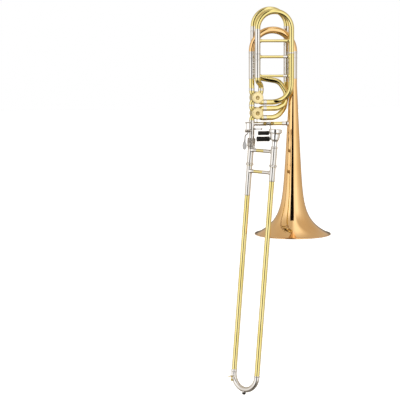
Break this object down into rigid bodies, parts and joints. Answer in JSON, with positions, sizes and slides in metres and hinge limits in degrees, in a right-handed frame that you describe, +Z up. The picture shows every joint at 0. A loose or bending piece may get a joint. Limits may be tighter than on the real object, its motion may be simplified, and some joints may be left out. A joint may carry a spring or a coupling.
{
  "type": "bass trombone",
  "caption": "Bass trombone with two in-line rotary valves, tuning slides, thumb and finger levers and a telescoping hand slide, standing bell down.",
  "frame": {"origin": "centre of the bell's mouth, in the plane of its rim", "axes": "+Z up the bell's axis, the bell section in the XZ plane with the neckpipe at -X, mouthpiece forward at -Y; bell and slide point down"},
  "size_m": [0.3411, 0.2414, 1.2091],
  "materials": {
    "gold_brass": "clear-lacquered gold brass, polished",
    "yellow_brass": "clear-lacquered yellow brass, polished",
    "nickel_silver": "nickel silver, polished",
    "rotor_brass": "unlacquered machined brass",
    "silver_plate": "silver plate, mirror polished",
    "lever_steel": "nickel-plated steel, polished",
    "spring_brass": "phosphor-bronze wire",
    "chrome_tube": "chrome-plated, honed",
    "black_roller": "black acetal, satin",
    "black_rubber": "black rubber, matt",
    "cork": "natural cork"
  },
  "bodies": {
    "horn": {"bell": "gold_brass", "main_outer_tubes": "nickel_silver", "valve_leg_tube": "yellow_brass", "valve_ferrules": "nickel_silver", "second_casing": "yellow_brass", "f_casing": "yellow_brass", "valve_front_caps": "yellow_brass", "valve_back_plates": "yellow_brass", "plate_screws": "lever_steel", "stop_corks": "cork", "neckpipe": "nickel_silver", "second_left_outer_tube": "nickel_silver", "second_port_tube": "yellow_brass", "second_return_tube": "yellow_brass", "f_outer_tubes": "nickel_silver", "f_loop_tubes": "yellow_brass", "loop_crossbars": "yellow_brass", "loop_struts": "nickel_silver", "bell_brace_ends": "nickel_silver", "bell_brace_sleeve": "yellow_brass", "lever_hinge_rod": "lever_steel", "lever_springs": "spring_brass", "lever_stop_rod": "lever_steel", "second_lever_bracket": "nickel_silver", "slide_receiver": "nickel_silver", "cork_barrels": "nickel_silver", "mouthpiece_receiver": "nickel_silver", "barrel_corks": "cork", "inner_slide_tubes": "chrome_tube", "leadpipe": "yellow_brass", "inner_slide_brace": "nickel_silver"},
    "main_slide": {"main_bow": "gold_brass", "main_slide_legs": "nickel_silver"},
    "second_slide": {"second_bow": "yellow_brass", "second_slide_legs": "nickel_silver", "second_pull_brace": "yellow_brass"},
    "f_slide": {"f_bow": "yellow_brass", "f_slide_legs": "nickel_silver"},
    "second_rotor": {"second_rotor": "rotor_brass", "second_stop_arm": "lever_steel"},
    "f_rotor": {"f_rotor": "rotor_brass", "f_stop_arm": "lever_steel"},
    "f_lever": {"f_lever": "lever_steel"},
    "upper_roller": {"upper_roller": "black_roller"},
    "lower_roller": {"lower_roller": "black_roller"},
    "f_link": {"f_link_rod": "lever_steel"},
    "second_lever": {"second_lever": "lever_steel"},
    "second_link": {"second_link_rod": "lever_steel"},
    "lock_nut": {"lock_nut": "nickel_silver"},
    "slide_lock": {"slide_lock_ring": "nickel_silver"},
    "mouthpiece": {"mouthpiece": "silver_plate"},
    "outer_slide": {"outer_slide_tubes": "yellow_brass", "outer_slide_sleeves": "nickel_silver", "outer_slide_brace": "nickel_silver", "slide_crook": "nickel_silver", "crook_fittings": "nickel_silver", "bumper": "black_rubber", "water_key_spring": "spring_brass"},
    "water_key": {"water_key": "yellow_brass", "water_key_cork": "cork"}
  },
  "joints": [
    {"name": "hand_slide", "type": "slide", "parent": "horn", "child": "outer_slide", "axis": [-0.0846, -0.0468, -0.9953], "range_m": [0, 0.58]},
    {"name": "main_tuning", "type": "slide", "parent": "horn", "child": "main_slide", "axis": [0, 0, 1], "range_m": [0, 0.06]},
    {"name": "second_tuning", "type": "slide", "parent": "horn", "child": "second_slide", "axis": [0, 0, 1], "range_m": [0, 0.05]},
    {"name": "f_tuning", "type": "slide", "parent": "horn", "child": "f_slide", "axis": [0, 0, 1], "range_m": [0, 0.1]},
    {"name": "second_valve", "type": "hinge", "parent": "horn", "child": "second_rotor", "pos_m": [-0.117, 0, 0.432], "axis": [0, 1, 0], "range_deg": [0, 90], "stiffness_Nm_per_rad": 0.03, "springref_deg": -45.84},
    {"name": "second_lever_press", "type": "hinge", "parent": "horn", "child": "second_lever", "pos_m": [-0.146, -0.014, 0.3295], "axis": [1, 0, 0], "range_deg": [0, 16.22]},
    {"name": "second_link_swing", "type": "hinge", "parent": "second_lever", "child": "second_link", "pos_m": [-0.12403, 0.02699, 0.32368], "axis": [1, 0, 0], "range_deg": [-16.22, 0]},
    {"name": "f_valve", "type": "hinge", "parent": "horn", "child": "f_rotor", "pos_m": [-0.117, 0, 0.3835], "axis": [0, -1, 0], "range_deg": [0, 90], "stiffness_Nm_per_rad": 0.03, "springref_deg": -45.84},
    {"name": "f_lever_press", "type": "hinge", "parent": "horn", "child": "f_lever", "pos_m": [-0.0797, 0, 0.3505], "axis": [1, 0, 0], "range_deg": [0, 24.05]},
    {"name": "f_link_swing", "type": "hinge", "parent": "f_lever", "child": "f_link", "pos_m": [-0.10997, 0.02739, 0.34468], "axis": [1, 0, 0], "range_deg": [-24.05, 0]},
    {"name": "upper_roller_spin", "type": "hinge", "parent": "f_lever", "child": "upper_roller", "pos_m": [-0.09725, -0.016, 0.3218], "axis": [1, 0, 0], "continuous": true},
    {"name": "lower_roller_spin", "type": "hinge", "parent": "f_lever", "child": "lower_roller", "pos_m": [-0.0984, -0.016, 0.3035], "axis": [1, 0, 0], "continuous": true},
    {"name": "lock_nut_turn", "type": "hinge", "parent": "horn", "child": "lock_nut", "pos_m": [-0.13302, -0.00084, 0.29608], "axis": [-0.0846, -0.0468, -0.9953], "range_deg": [0, 350]},
    {"name": "slide_lock_turn", "type": "hinge", "parent": "horn", "child": "slide_lock", "pos_m": [-0.0799, -0.07836, 0.22287], "axis": [-0.0846, -0.0468, -0.9953], "range_deg": [0, 35]},
    {"name": "mouthpiece_pull", "type": "slide", "parent": "horn", "child": "mouthpiece", "axis": [0.0846, 0.0468, 0.9953], "range_m": [0, 0.035]},
    {"name": "water_key_press", "type": "hinge", "parent": "outer_slide", "child": "water_key", "pos_m": [-0.20404, -0.04803, -0.44216], "axis": [-0.6239, 0.7813, 0.0163], "range_deg": [0, 18], "stiffness_Nm_per_rad": 0.02, "springref_deg": -28.65}
  ],
  "couplings": [
    {"joint": "second_lever_press", "follows": "second_valve", "ratio": 0.17963},
    {"joint": "second_link_swing", "follows": "second_valve", "ratio": -0.17963},
    {"joint": "f_lever_press", "follows": "f_valve", "ratio": 0.26667},
    {"joint": "f_link_swing", "follows": "f_valve", "ratio": -0.26667}
  ]
}
